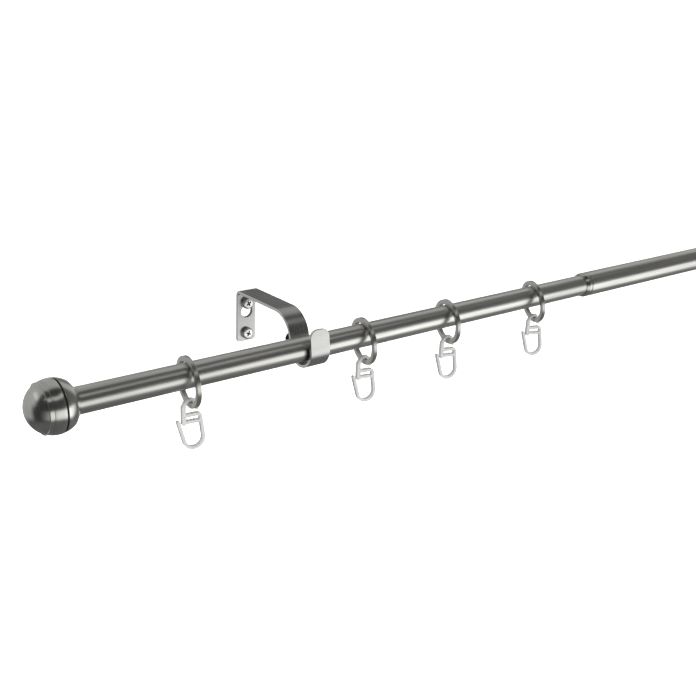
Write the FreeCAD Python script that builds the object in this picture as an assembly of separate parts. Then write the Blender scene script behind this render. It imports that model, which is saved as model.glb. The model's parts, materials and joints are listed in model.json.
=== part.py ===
"""Telescopic curtain rod with two wall brackets, ball finials, rings and pleat hooks.

Millimetres.  X runs along the rod, +Y goes into the wall, +Z is up.
The origin is on the wall, behind the middle of the left bracket, level with the rod's axis.
"""
import FreeCAD, Part
import math
import os

from FreeCAD import Base

# ---------------------------------------------------------------- tubes
thin_od = 16.0            # inner, thinner tube
thin_wall = 0.6
thin_length = 600.0
thick_wall = 0.6          # outer, thicker tube
telescope_gap = 0.9       # between the two tubes, filled by collar and guide
thick_length = 650.0
thin_shown = 427.5        # length of thin tube in the open at rest, finial to collar
running_gap = 0.08        # radial play of the telescope's two bearings
press_gap = 0.05          # radial play of what is pressed, glued or screwed in

# ---------------------------------------------------------------- brackets
wall_to_rod = 76.0        # wall to rod axis
finial_to_bracket = 161.5 # end of the bare tube to the middle of the bracket, both sides
strap_width = 15.0
strap_thick = 2.0
arm_height = 19.5         # top of the arm above the rod's axis
plate_drop = 18.0         # bottom of the wall plate below the rod's axis
plate_bend = 1.5          # inside radius of the bend between wall plate and arm
neck_radius = 19.0        # outer radius of the bend from the arm down behind the rod
saddle_clear = 0.8        # radial room round the thick tube in the hook
saddle_shift = 0.4        # the hook's centre sits this much nearer the wall than the rod
lip_wrap = 8.0            # degrees that the hook curls on past the rod's front
lip_height = 15.0         # top of the hook's lip above the rod's axis
lip_corner = 4.2
plate_corner = 2.4
strap_edge = 0.35         # rounding along the strap's edges

# ---------------------------------------------------------------- wall screws
screw_spacing = 22.0
lower_hole_up = 5.8       # lower hole above the plate's bottom edge
screw_shank_d = 4.0       # over the thread, behind the plate
screw_neck_d = 3.6        # plain neck in the plate's hole
screw_hole_d = 4.6
screw_head_d = 8.2
screw_head_h = 2.8
screw_head_round = 1.1
screw_length = 30.0
screw_point = 5.0
screw_tip_d = 0.6
keyhole_entry_d = 8.6
keyhole_drop = 6.2        # centre of the entry hole below the upper screw
recess_size = 4.4
recess_width = 1.15
recess_depth = 1.7
screw_turns = {"left_upper": 28.0, "left_lower": -24.0, "right_upper": 12.0, "right_lower": 40.0}

# ---------------------------------------------------------------- rod fixing screws
fixing_d = 4.0
fixing_play = 0.06        # radial play of the screw in its hole
fixing_tip_gap = 0.15     # tip to tube, backed off by less than a quarter turn
fixing_length = 12.0      # under the head
fixing_head_d = 7.4
fixing_head_h = 2.8
fixing_head_round = 0.9

# ---------------------------------------------------------------- ball finials
ball_d = 32.0
ball_centre_out = 13.0    # ball centre beyond the end of the bare tube
ball_split_out = 10.8     # parting line beyond it
ball_step_out = 19.2      # middle of the turned step between the ball's belly and its nose
step_width = 2.6          # straight land of the step
step_depth = 0.35         # land below the belly; the nose starts below the land
spacer_thick = 1.1
spacer_inset = 0.9
cone_length = 3.8         # cone that closes the ball round the tube
cone_lip = 0.4            # flat left between cone and tube
tube_seat = 8.6           # how far the tube goes into the ball
stud_d = 5.0
stud_length = 30.0
stud_chamfer = 0.5
stud_end_room = 1.0       # free depth of the front half's bore beyond the stud
stud_in_plug = 16.0
plug_length = 18.0

# ---------------------------------------------------------------- collar and guide
collar_length = 6.2
collar_chamfer = 1.3
collar_spigot = 14.0
collar_groove_back = 1.3  # groove's middle to the seam with the tube
collar_groove_width = 0.5
collar_groove_depth = 0.3
guide_flange = 4.0
guide_spigot = 18.0
guide_wall = 2.2

# ---------------------------------------------------------------- rings and hooks
ring_play = 6.6           # ring's inside diameter over the thick tube
ring_radial = 3.4         # ring's section, outwards
ring_thick = 3.0          # ring's section, along the rod
ring_round = 0.45
ring_hang_gap = 0.3       # ring's inside top to the tube

hook_thick = 3.0
eye_play = 1.0            # loop's inside radius over half the diagonal of the ring's section
eye_gap = 0.35            # loop to ring where it hangs
eye_stroke = 2.0
eye_opening = -24.0       # degrees, where the loop ends on its open side
stem_stroke = 2.6
stem_foot = -11.7         # lower end of the short stem below the ring's section
claw_stroke = 2.1
claw_radius = 6.3
claw_centre = (1.9, -22.4)
claw_tip = (-8.1, -10.5)   # clears the stem's foot, which leaves the claw's mouth open
claw_shoulder = (6.4, -8.8)
shoulder_radius = 2.0
bar_stroke = 1.9
lower_bar = -11.3

# Place along the rod from the left bracket, turn about the vertical, lean along the rod.
thin_rings = [
    (-90.2, -7.0, -3.0),
    (44.1, -10.0, -4.5),
    (121.2, -12.0, -5.0),
    (210.3, -18.0, -8.5),
]
first_thick_ring = 190.0  # past the thick tube's collar
thick_ring_pitch = 77.0
thick_ring_turns = [(-12.0, -6.0), (9.0, 5.0), (-16.0, -8.0), (-5.0, 4.0)]
last_ring_step = 92.0     # beyond the right bracket
last_ring_turn = (7.0, 4.0)

# ---------------------------------------------------------------- making
past = 1.0                # cutters run this far past what they cut
near = 1e-6               # lengths closer than this are the same

# ---------------------------------------------------------------- places that follow
thin_r = thin_od / 2
thick_r = thin_r + telescope_gap + thick_wall
thin_bore = thin_r - thin_wall
thick_bore = thick_r - thick_wall
rod_y = -wall_to_rod
left_end = -finial_to_bracket
collar_x = left_end + thin_shown
right_end = collar_x + collar_length + thick_length - tube_seat
right_bracket_x = right_end - finial_to_bracket
saddle_r = thick_r + saddle_clear
lower_screw_z = lower_hole_up - plate_drop
upper_screw_z = lower_screw_z + screw_spacing
ring_inner_r = thick_r + ring_play / 2
ring_outer_r = ring_inner_r + ring_radial
ring_mid_r = ring_inner_r + ring_radial / 2
eye_radius = math.hypot(ring_thick, ring_radial) / 2 + eye_play

ALONG = Base.Vector(1, 0, 0)
INWARD = Base.Vector(0, 1, 0)
UP = Base.Vector(0, 0, 1)


# ---------------------------------------------------------------- small helpers
def rod(radius, x0, x1, y=rod_y, z=0.0):
    """Cylinder along X."""
    return Part.makeCylinder(radius, x1 - x0, Base.Vector(x0, y, z), ALONG)


def peg(radius, y0, y1, x=0.0, z=0.0):
    """Cylinder along Y."""
    return Part.makeCylinder(radius, y1 - y0, Base.Vector(x, y0, z), INWARD)


def tube(outer, bore, x0, x1):
    return rod(outer, x0, x1).cut(rod(bore, x0, x1))


def arc(centre, radius, start, end):
    """Arc in the YZ plane, from one angle to another in degrees, measured from +Y towards +Z."""
    points = []
    for angle in (start, (start + end) / 2, end):
        a = math.radians(angle)
        points.append(Base.Vector(0, centre[0] + radius * math.cos(a), centre[1] + radius * math.sin(a)))
    return Part.Arc(*points).toShape()


def joined(edges):
    """One wire through the edges, with a straight line wherever two don't meet."""
    chain = []
    for edge in edges:
        if chain:
            gap_from = chain[-1].lastVertex(True).Point
            gap_to = edge.firstVertex(True).Point
            if gap_from.distanceToPoint(gap_to) > near:
                chain.append(Part.makeLine(gap_from, gap_to))
        chain.append(edge)
    end = chain[-1].lastVertex(True).Point
    start = chain[0].firstVertex(True).Point
    if end.distanceToPoint(start) > near:
        chain.append(Part.makeLine(end, start))
    return Part.Wire(chain)


def turned(points):
    """Solid of revolution about X from an outline of (x, radius) corners."""
    corners = [Base.Vector(x, 0, r) for x, r in points]
    face = Part.Face(Part.makePolygon(corners + corners[:1]))
    return face.revolve(Base.Vector(0, 0, 0), ALONG, 360)


def rounded_rim(solid, radius, wanted):
    """Fillet the edges that the test picks."""
    return solid.makeFillet(radius, [edge for edge in solid.Edges if wanted(edge)])


# ---------------------------------------------------------------- brackets
def strap_outline():
    """Side view of the bent strap: wall plate, arm, neck behind the rod, hook under it, lip."""
    saddle = (rod_y + saddle_shift, 0.0)
    neck_z = arm_height - neck_radius
    reach = neck_radius + saddle_r
    neck = (saddle[0] + math.sqrt(reach ** 2 - neck_z ** 2), neck_z)
    turn_over = math.degrees(math.atan2(neck[1] - saddle[1], neck[0] - saddle[0]))
    front = -180.0 - lip_wrap
    bend_outer = plate_bend + strap_thick
    bend = (-bend_outer, arm_height - bend_outer)

    rod_side = [
        Part.makeLine(Base.Vector(0, 0, -plate_drop), Base.Vector(0, 0, bend[1])),
        arc(bend, bend_outer, 0, 90),
        arc(neck, neck_radius, 90, 180 + turn_over),
        arc(saddle, saddle_r, turn_over, front),
    ]
    wall_side = [
        arc(saddle, saddle_r + strap_thick, front, turn_over),
        arc(neck, neck_radius - strap_thick, 180 + turn_over, 90),
        arc(bend, plate_bend, 90, 0),
        Part.makeLine(Base.Vector(0, -strap_thick, bend[1]), Base.Vector(0, -strap_thick, -plate_drop)),
    ]
    foot = rod_side[-1].lastVertex(True).Point
    lean = math.radians(lip_wrap)
    rise = (lip_height - foot.z) / math.cos(lean)
    along_lip = Base.Vector(0, math.sin(lean), math.cos(lean))
    across_lip = Base.Vector(0, -math.cos(lean), math.sin(lean))
    top_in = foot + along_lip * rise
    top_out = top_in + across_lip * strap_thick
    return joined(rod_side + [Part.makeLine(foot, top_in), Part.makeLine(top_in, top_out)] + wall_side)


def keyhole():
    cut_y = -strap_thick - past
    slot_r = screw_hole_d / 2
    entry_z = upper_screw_z - keyhole_drop
    entry = peg(keyhole_entry_d / 2, cut_y, past, 0, entry_z)
    top = peg(slot_r, cut_y, past, 0, upper_screw_z)
    slot = Part.makeBox(screw_hole_d, past - cut_y, keyhole_drop, Base.Vector(-slot_r, cut_y, entry_z))
    return entry.fuse([top, slot])


def bracket(x):
    half = strap_width / 2
    strap = Part.Face(strap_outline()).extrude(ALONG * strap_width)
    strap.translate(Base.Vector(-half, 0, 0))

    def end_seam(edge):
        """Short straight edge through the strap's thickness."""
        return abs(edge.Length - strap_thick) < near

    def on_side(edge):
        return abs(abs(edge.CenterOfMass.x) - half) < near

    def end_corner(edge):
        return on_side(edge) and end_seam(edge)

    strap = rounded_rim(strap, plate_corner, lambda e: end_corner(e) and e.CenterOfMass.z < 0)
    strap = rounded_rim(strap, lip_corner, lambda e: end_corner(e) and e.CenterOfMass.z > 0)

    def on_rim(edge):
        """The strap's long edges, its rounded corners and its two ends, on both faces."""
        middle = edge.CenterOfMass
        if end_seam(edge) or abs(edge.Length - strap_width) < near:
            return False
        on_foot = middle.z < plate_corner - plate_drop
        on_lip = middle.z > lip_height - lip_corner - strap_thick / 2 and middle.y < rod_y
        return on_side(edge) or on_foot or on_lip

    strap = rounded_rim(strap, strap_edge, on_rim)
    strap = strap.cut(keyhole())
    strap = strap.cut(peg(screw_hole_d / 2, -strap_thick - past, past, 0, lower_screw_z))
    strap = strap.cut(peg(fixing_d / 2 + fixing_play, rod_y, rod_y + 2 * saddle_r, 0, 0))
    strap.translate(Base.Vector(x, 0, 0))
    return strap


# ---------------------------------------------------------------- screws
def cross_recess(face_y, turn):
    """Cutter for a cross recess that opens towards the room at face_y."""
    cross = None
    for angle in (turn, turn + 90):
        low = Base.Vector(-recess_size / 2, face_y - past, -recess_width / 2)
        slot = Part.makeBox(recess_size, recess_depth + past, recess_width, low)
        slot.rotate(Base.Vector(0, 0, 0), INWARD, angle)
        cross = slot if cross is None else cross.fuse(slot)
    dimple = peg(recess_width, face_y - past, face_y + recess_depth)
    return cross.fuse(dimple)


def pan_head(diameter, height, rounding, under_y, turn):
    head = peg(diameter / 2, under_y - height, under_y)
    head = rounded_rim(head, rounding, lambda e: abs(e.CenterOfMass.y - under_y + height) < near)
    return head.cut(cross_recess(under_y - height, turn))


def wall_screw(x, z, turn):
    under = -strap_thick
    tip = under + screw_length
    head = pan_head(screw_head_d, screw_head_h, screw_head_round, under, turn)
    neck = peg(screw_neck_d / 2, under, 0)
    shank = peg(screw_shank_d / 2, 0, tip - screw_point)
    point = Part.makeCone(
        screw_shank_d / 2, screw_tip_d / 2, screw_point, Base.Vector(0, tip - screw_point, 0), INWARD
    )
    screw = head.fuse([neck, shank, point]).removeSplitter()
    screw.translate(Base.Vector(x, 0, z))
    return screw


def fixing_screw(x, tube_r, turn):
    """Screw through the back of the hook; its plain end bears on the tube."""
    tip = rod_y + tube_r + fixing_tip_gap
    under = tip + fixing_length
    head = peg(fixing_head_d / 2, under, under + fixing_head_h)
    head = rounded_rim(
        head, fixing_head_round, lambda e: abs(e.CenterOfMass.y - under - fixing_head_h) < near
    )
    recess = cross_recess(-under - fixing_head_h, turn)
    recess.rotate(Base.Vector(0, 0, 0), UP, 180)
    shank = peg(fixing_d / 2, tip, under)
    screw = head.fuse(shank).removeSplitter().cut(recess)
    screw.translate(Base.Vector(x, 0, 0))
    return screw


# ---------------------------------------------------------------- finials
def ball_slice(out0, out1):
    """The ball between two planes, with its tube end at x = 0 and its nose towards +X."""
    ball = Part.makeSphere(ball_d / 2, Base.Vector(ball_centre_out, 0, 0))
    slab = Part.makeCylinder(ball_d, out1 - out0, Base.Vector(out0, 0, 0), ALONG)
    return ball.common(slab)


def bored(solid, radius, out0, out1):
    return solid.cut(Part.makeCylinder(radius, out1 - out0, Base.Vector(out0, 0, 0), ALONG))


def finial_front():
    back = ball_split_out + spacer_thick / 2
    nose = ball_centre_out + ball_d / 2
    land_in = ball_step_out - step_width / 2
    land_out = ball_step_out + step_width / 2
    land_r = math.sqrt((ball_d / 2) ** 2 - (land_in - ball_centre_out) ** 2) - step_depth
    land = Part.makeCylinder(land_r, step_width, Base.Vector(land_in, 0, 0), ALONG)
    around = turned([
        (land_in, land_r), (land_in, ball_d), (land_out, ball_d), (land_out, land_r),
    ])
    front = ball_slice(back, nose).cut(around).fuse(land).removeSplitter()
    stud_end = tube_seat - stud_in_plug + stud_length
    return bored(front, stud_d / 2 + press_gap, back - past, stud_end + stud_end_room)


def finial_spacer():
    off_centre = ball_split_out - ball_centre_out
    radius = math.sqrt((ball_d / 2) ** 2 - off_centre ** 2) - spacer_inset
    start = ball_split_out - spacer_thick / 2
    disc = Part.makeCylinder(radius, spacer_thick, Base.Vector(start, 0, 0), ALONG)
    return bored(disc, stud_d / 2 + press_gap, start - past, start + spacer_thick + past)


def finial_rear(tube_r):
    rear = ball_slice(0, ball_split_out - spacer_thick / 2)
    cone_r = math.sqrt((ball_d / 2) ** 2 - (ball_centre_out - cone_length) ** 2)
    outside = turned([
        (0, tube_r + cone_lip),
        (cone_length, cone_r),
        (cone_length, ball_d),
        (0, ball_d),
    ])
    rear = rear.cut(outside)
    rear = bored(rear, tube_r + press_gap, -past, tube_seat)
    return bored(rear, stud_d / 2 + press_gap, 0, ball_split_out)


def finial_stud():
    start = tube_seat - stud_in_plug
    stud = Part.makeCylinder(stud_d / 2, stud_length, Base.Vector(start, 0, 0), ALONG)
    return stud.makeChamfer(stud_chamfer, [e for e in stud.Edges if isinstance(e.Curve, Part.Circle)])


def end_plug(bore_r):
    start = tube_seat - plug_length
    plug = Part.makeCylinder(bore_r - press_gap, plug_length, Base.Vector(start, 0, 0), ALONG)
    return bored(plug, stud_d / 2 + press_gap, start - past, tube_seat + past)


def at_rod_end(solid, end_x, nose_left):
    """Move a piece made about the X axis to one end of the rod."""
    if nose_left:
        solid.rotate(Base.Vector(0, 0, 0), UP, 180)
    solid.translate(Base.Vector(end_x, rod_y, 0))
    return solid


# ---------------------------------------------------------------- tubes
def thin_tube():
    start = left_end - tube_seat
    return tube(thin_r, thin_bore, start, start + thin_length)


def thick_tube():
    return tube(thick_r, thick_bore, collar_x + collar_length, right_end + tube_seat)


def collar():
    """Plastic end ring of the thick tube: flush head outside, bearing spigot inside."""
    seam = collar_x + collar_length
    head = rod(thick_r, collar_x, seam)
    head = head.makeChamfer(
        collar_chamfer, [e for e in head.Edges if abs(e.CenterOfMass.x - collar_x) < near]
    )
    spigot = rod(thick_bore - press_gap, seam, seam + collar_spigot)
    groove_mid = seam - collar_groove_back
    groove0 = groove_mid - collar_groove_width / 2
    groove1 = groove_mid + collar_groove_width / 2
    groove = tube(thick_r + past, thick_r - collar_groove_depth, groove0, groove1)
    bore = rod(thin_r + running_gap, collar_x - past, seam + collar_spigot + past)
    return head.fuse(spigot).cut(groove).cut(bore)


def tube_guide():
    """Plastic foot in the thin tube's hidden end, which runs in the thick tube."""
    tube_end = left_end - tube_seat + thin_length
    flange = rod(thick_bore - running_gap, tube_end, tube_end + guide_flange)
    spigot = rod(thin_bore - press_gap, tube_end - guide_spigot, tube_end)
    bore_r = thin_bore - press_gap - guide_wall
    bore = rod(bore_r, tube_end - guide_spigot - past, tube_end + guide_flange + past)
    return flange.fuse(spigot).cut(bore)


# ---------------------------------------------------------------- rings
def ring_hang(tube_r, x, turn, lean):
    """Centre of a ring that hangs from the top of a tube, and the middle of its section at the bottom."""
    lean_r = math.radians(lean)
    turn_r = math.radians(turn)
    inside_top = ring_inner_r * math.cos(lean_r) - ring_thick / 2 * abs(math.sin(lean_r))
    centre_z = tube_r + ring_hang_gap - inside_top
    swing = Base.Vector(math.cos(turn_r), math.sin(turn_r), 0) * -math.sin(lean_r)
    centre = Base.Vector(x, rod_y, centre_z) + swing * ring_inner_r
    bottom = centre + swing * ring_mid_r - UP * (ring_mid_r * math.cos(lean_r))
    return centre, bottom


def ring(tube_r, x, turn, lean):
    half = ring_thick / 2
    body = Part.makeCylinder(ring_outer_r, ring_thick, Base.Vector(-half, 0, 0), ALONG)
    body = body.cut(Part.makeCylinder(ring_inner_r, ring_thick, Base.Vector(-half, 0, 0), ALONG))
    body = rounded_rim(body, ring_round, lambda e: isinstance(e.Curve, Part.Circle))
    centre = ring_hang(tube_r, x, turn, lean)[0]
    body.rotate(Base.Vector(0, 0, 0), INWARD, lean)
    body.rotate(Base.Vector(0, 0, 0), UP, turn)
    body.translate(centre)
    return body


# ---------------------------------------------------------------- hooks
def eye_height():
    """Centre of the hook's loop above the middle of the ring's section."""
    return ring_radial / 2 + eye_gap - eye_radius


def flat(u, v):
    return Base.Vector(u, 0, v)


def touch_point(point, centre, radius, side):
    """Where a line from a point touches a circle, on the chosen side."""
    du = point[0] - centre[0]
    dv = point[1] - centre[1]
    angle = math.atan2(dv, du) + side * math.acos(radius / math.hypot(du, dv))
    return (centre[0] + radius * math.cos(angle), centre[1] + radius * math.sin(angle))


def stroke(edges, width):
    """Flat shape of even width with round ends, about a bent centre line."""
    outline = Part.Wire(edges).makeOffset2D(width / 2, 0, False, False, True)
    return Part.Face(outline)


def straight_stroke(start, end, width):
    """The same about a straight centre line."""
    along = (end - start).normalize() * (width / 2)
    across = Base.Vector(-along.z, 0, along.x)
    sides = [
        Part.makeLine(start - across, end - across),
        Part.Arc(end - across, end + along, end + across).toShape(),
        Part.makeLine(end + across, start + across),
        Part.Arc(start + across, start - along, start - across).toShape(),
    ]
    return Part.Face(Part.Wire(sides))


def hook_blank():
    """Pleat hook in its own plane: loop and short stem, shoulder and long stem, claw, two bars."""
    eye_z = eye_height()
    eye_r = eye_radius + eye_stroke / 2
    stem_u = -eye_r
    points = []
    for angle in (eye_opening, (eye_opening + 180) / 2, 180):
        a = math.radians(angle)
        points.append(flat(eye_r * math.cos(a), eye_z + eye_r * math.sin(a)))
    loop = [Part.Arc(*points).toShape()]
    stem_mid = stem_u + (eye_stroke - stem_stroke) / 2

    low = (claw_centre[0], claw_centre[1] - claw_radius)
    left = touch_point(claw_tip, claw_centre, claw_radius, 1)
    right = touch_point(claw_shoulder, claw_centre, claw_radius, -1)
    bar_top = claw_shoulder[1] + shoulder_radius
    inner = (claw_shoulder[0] - shoulder_radius, bar_top)
    diagonal = shoulder_radius * math.sqrt(0.5)
    bend = (inner[0] + diagonal, claw_shoulder[1] + diagonal)
    claw = [
        Part.makeLine(flat(*claw_tip), flat(*left)),
        Part.Arc(flat(*left), flat(*low), flat(*right)).toShape(),
        Part.makeLine(flat(*right), flat(*claw_shoulder)),
        Part.Arc(flat(*claw_shoulder), flat(*bend), flat(*inner)).toShape(),
        Part.makeLine(flat(*inner), flat(stem_mid, bar_top)),
    ]

    pieces = [
        stroke(loop, eye_stroke),
        stroke(claw, claw_stroke),
        straight_stroke(flat(stem_mid, eye_z), flat(stem_mid, stem_foot), stem_stroke),
        straight_stroke(flat(stem_mid, lower_bar), flat(claw_shoulder[0], lower_bar), bar_stroke),
    ]
    solids = [piece.extrude(INWARD * hook_thick) for piece in pieces]
    blank = solids[0].fuse(solids[1:]).removeSplitter()
    blank.translate(INWARD * (-hook_thick / 2))
    return blank


def hook(blank, tube_r, x, turn, lean):
    bottom = ring_hang(tube_r, x, turn, lean)[1]
    piece = blank.copy()
    piece.rotate(Base.Vector(0, 0, 0), UP, turn)
    piece.translate(bottom)
    return piece


def ring_places():
    """Every ring as (tube radius, x, turn, lean), from left to right."""
    places = [(thin_r, x, turn, lean) for x, turn, lean in thin_rings]
    for i, (turn, lean) in enumerate(thick_ring_turns):
        places.append((thick_r, collar_x + first_thick_ring + i * thick_ring_pitch, turn, lean))
    places.append((thick_r, right_bracket_x + last_ring_step) + last_ring_turn)
    return places


# ---------------------------------------------------------------- assembly
def build():
    parts = {
        "inner_tube": thin_tube(),
        "inner_tube_guide": tube_guide(),
        "outer_tube": thick_tube(),
        "outer_tube_collar": collar(),
    }
    sides = [
        ("left", 0.0, left_end, thin_r, thin_bore),
        ("right", right_bracket_x, right_end, thick_r, thick_bore),
    ]
    for side, bracket_x, end_x, tube_r, bore_r in sides:
        parts["bracket_" + side] = bracket(bracket_x)
        parts["fixing_screw_" + side] = fixing_screw(bracket_x, tube_r, screw_turns[side + "_upper"])
        for level, z in (("upper", upper_screw_z), ("lower", lower_screw_z)):
            place = side + "_" + level
            parts["wall_screw_" + place] = wall_screw(bracket_x, z, screw_turns[place])
        finial = {
            "finial_front_" + side: finial_front(),
            "finial_spacer_" + side: finial_spacer(),
            "finial_rear_" + side: finial_rear(tube_r),
            "finial_stud_" + side: finial_stud(),
            "tube_plug_" + side: end_plug(bore_r),
        }
        for name, solid in finial.items():
            parts[name] = at_rod_end(solid, end_x, side == "left")
    blank = hook_blank()
    for number, place in enumerate(ring_places(), 1):
        parts["ring_%02d" % number] = ring(*place)
        parts["hook_%02d" % number] = hook(blank, *place)
    return parts


os.makedirs("parts", exist_ok=True)
for node, shape in build().items():
    shape.exportStep("parts/" + node + ".step")
    print(node, len(shape.Solids), "solid", shape.isValid(), round(shape.Volume, 1), "mm3")
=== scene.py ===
# %% [markdown]
# # A curtain rod on its two wall brackets
#
# A telescopic curtain rod is a thin tube that slides in a thicker one, with a ball finial screwed into
# each outer end. Two bent straps carry it off the wall, and nine flat rings with plastic pleat hooks
# hang on it. The CAD model already holds the right sizes and the right movement. This lesson gives
# each piece a finely made surface and a finish that shows how it was made.
#
# The frame comes first. It brings in the CAD pieces, and each new piece is tied to one of them.

# %% Load the frame
import json
import math

import bmesh
import bpy
import numpy as np
from mathutils import Matrix, Vector


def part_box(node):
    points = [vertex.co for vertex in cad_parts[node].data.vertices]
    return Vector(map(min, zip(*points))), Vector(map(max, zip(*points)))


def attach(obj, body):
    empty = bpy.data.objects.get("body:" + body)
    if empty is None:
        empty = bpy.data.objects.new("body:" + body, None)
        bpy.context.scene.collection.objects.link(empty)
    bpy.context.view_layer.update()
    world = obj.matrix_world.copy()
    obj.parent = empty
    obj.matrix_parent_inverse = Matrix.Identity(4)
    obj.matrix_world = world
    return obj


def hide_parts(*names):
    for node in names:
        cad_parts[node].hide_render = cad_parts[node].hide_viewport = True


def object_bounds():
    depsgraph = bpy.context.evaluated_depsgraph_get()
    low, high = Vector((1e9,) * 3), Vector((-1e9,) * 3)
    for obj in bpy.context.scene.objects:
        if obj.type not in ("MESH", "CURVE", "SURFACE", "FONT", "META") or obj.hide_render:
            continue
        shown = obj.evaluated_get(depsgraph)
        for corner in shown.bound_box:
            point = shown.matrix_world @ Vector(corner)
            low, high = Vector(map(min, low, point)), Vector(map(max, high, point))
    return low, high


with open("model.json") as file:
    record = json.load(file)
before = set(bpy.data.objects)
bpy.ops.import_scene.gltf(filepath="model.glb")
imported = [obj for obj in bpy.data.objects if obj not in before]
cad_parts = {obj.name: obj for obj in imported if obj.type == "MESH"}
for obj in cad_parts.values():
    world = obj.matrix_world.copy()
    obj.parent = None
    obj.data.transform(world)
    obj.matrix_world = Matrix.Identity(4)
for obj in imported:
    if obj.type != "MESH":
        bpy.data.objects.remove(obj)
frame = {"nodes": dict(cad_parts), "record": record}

cad_low, cad_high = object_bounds()
print("the whole rod is", [round(side, 4) for side in cad_high - cad_low], "metres")

# %% [markdown]
# Blender works in metres, but a workshop drawing of a curtain rod is in millimetres. So every shape
# below is built in millimetres and shrunk once, just before it becomes an object. Two small
# dictionaries say which body each CAD piece moves with and which finish the record gives it.

# %% Millimetres, bodies and finishes
MM = 0.001
record = frame["record"]
body_of = {node: body for body, nodes in record["behaviour"]["bodies"].items() for node in nodes}
slot_of = {part["node"]: part["material_slot"] for part in record["subparts"]}
joints = {joint["name"]: joint for joint in record["behaviour"]["joints"]}


def box_mm(node):
    """Lowest and highest corner of a CAD piece, in millimetres."""
    low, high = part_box(node)
    return Vector(low) / MM, Vector(high) / MM


def shift_mm(x, y, z):
    """Matrix that moves by so many millimetres."""
    return Matrix.Translation(Vector((x, y, z)) * MM)


# %% [markdown]
# ## Writing finishes as sums
#
# A finish is a node tree, and the maths in it reads best as a sum. `Link` wraps one output of a node.
# Adding, subtracting or multiplying links adds the Math node that does it, also when a plain number
# stands on the left, as in `1 - wear`. Every other node comes from `NodeSheet.add`, which takes the
# node's type, its settings and what goes into its sockets.

# %% Links that can be added and multiplied
class Link:
    """An output socket that can stand in a sum as a number does."""

    def __init__(self, sheet, socket):
        self.sheet = sheet
        self.socket = socket

    def sum_of(self, operation, first, second):
        return self.sheet.add("ShaderNodeMath", {"operation": operation}, {0: first, 1: second})

    def __add__(self, other):
        return self.sum_of("ADD", self, other)

    def __mul__(self, other):
        return self.sum_of("MULTIPLY", self, other)

    def __sub__(self, other):
        return self.sum_of("SUBTRACT", self, other)

    def __rsub__(self, other):
        return self.sum_of("SUBTRACT", other, self)

    def __pow__(self, other):
        return self.sum_of("POWER", self, other)

    __radd__ = __add__
    __rmul__ = __mul__


print("links can be added, subtracted, multiplied and raised to a power")


# %% A sheet that nodes are added to
class NodeSheet:
    """A node tree that is filled in one node at a time."""

    def __init__(self, tree):
        self.tree = tree

    def plug(self, socket, value):
        if isinstance(value, Link):
            self.tree.links.new(value.socket, socket)
        else:
            socket.default_value = value

    def add(self, kind, settings=None, inputs=None, output=0):
        node = self.tree.nodes.new(kind)
        for name, value in (settings or {}).items():
            if name == "stops":
                self.set_stops(node.color_ramp, value)
            else:
                setattr(node, name, value)
        for name, value in (inputs or {}).items():
            self.plug(node.inputs[name], value)
        return Link(self, node.outputs[output])

    def set_stops(self, ramp, stops):
        while len(ramp.elements) < len(stops):
            ramp.elements.new(1.0)
        for element, (place, shade) in zip(ramp.elements, stops):
            element.position = place
            element.color = (*shade, 1.0)

    def blend(self, amount, first, second):
        """Colour that goes from the first to the second as amount goes from 0 to 1."""
        inputs = {0: amount, 6: first, 7: second}
        return self.add("ShaderNodeMix", {"data_type": "RGBA"}, inputs, output=2)

    def between(self, value, low, high, bottom=0.0, top=1.0):
        """Smooth step from bottom to top as a value goes from low to high."""
        inputs = {"Value": value, "From Min": low, "From Max": high, "To Min": bottom, "To Max": top}
        return self.add("ShaderNodeMapRange", {"interpolation_type": "SMOOTHSTEP"}, inputs)


print("a sheet can add, plug, blend and step")

# %% [markdown]
# Metal that has been brushed or turned carries thousands of fine parallel scratches. On the tubes they
# run along the rod, on the finials and rings they run round. Both are one noise texture, squeezed hard
# across the scratches and hardly at all along them. `Finish.grain` does that with a stretch for each
# axis of the piece, so that one method serves every metal here.


# %% A finish with grain
class Finish(NodeSheet):
    """A material with one Principled shader, whose sockets are set by name."""

    def __init__(self, name, **constants):
        self.material = bpy.data.materials.new(name)
        self.material.use_nodes = True
        super().__init__(self.material.node_tree)
        self.shader = self.tree.nodes["Principled BSDF"]
        for socket, value in constants.items():
            self.set(socket.replace("_", " "), value)

    def set(self, socket, value):
        self.plug(self.shader.inputs[socket], value)

    def place(self):
        return self.add("ShaderNodeTexCoord", output=3)

    def grain(self, stretch, scale=1.0, detail=3.0, place=None):
        """Noise from 0 to 1 on the piece's own coordinates, stretched per axis."""
        where = self.add("ShaderNodeMapping", inputs={"Vector": place or self.place(), "Scale": stretch})
        inputs = {"Vector": where, "Scale": scale, "Detail": detail, "Roughness": 0.6}
        return self.add("ShaderNodeTexNoise", inputs=inputs)

    def tint(self, amount, tone, dull, light):
        """Set a colour that goes from a duller to a lighter share of one tone."""
        low, high = [(*(shade * share for shade in tone), 1.0) for share in (dull, light)]
        self.set("Base Color", self.blend(amount, low, high))

    def bump(self, height, strength, distance):
        inputs = {"Height": height, "Strength": strength, "Distance": distance}
        self.set("Normal", self.add("ShaderNodeBump", inputs=inputs))


print("a finish starts from one Principled shader")

# %% [markdown]
# ### Brushed tube
#
# The tubes are steel, plated in satin nickel and brushed lengthwise. Three grains do the work: long
# fine scratches, short heavier ones, and slow patches where the plating is a little duller. The
# scratches only change roughness and height. The colour hardly moves, because nickel has one colour.


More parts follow.
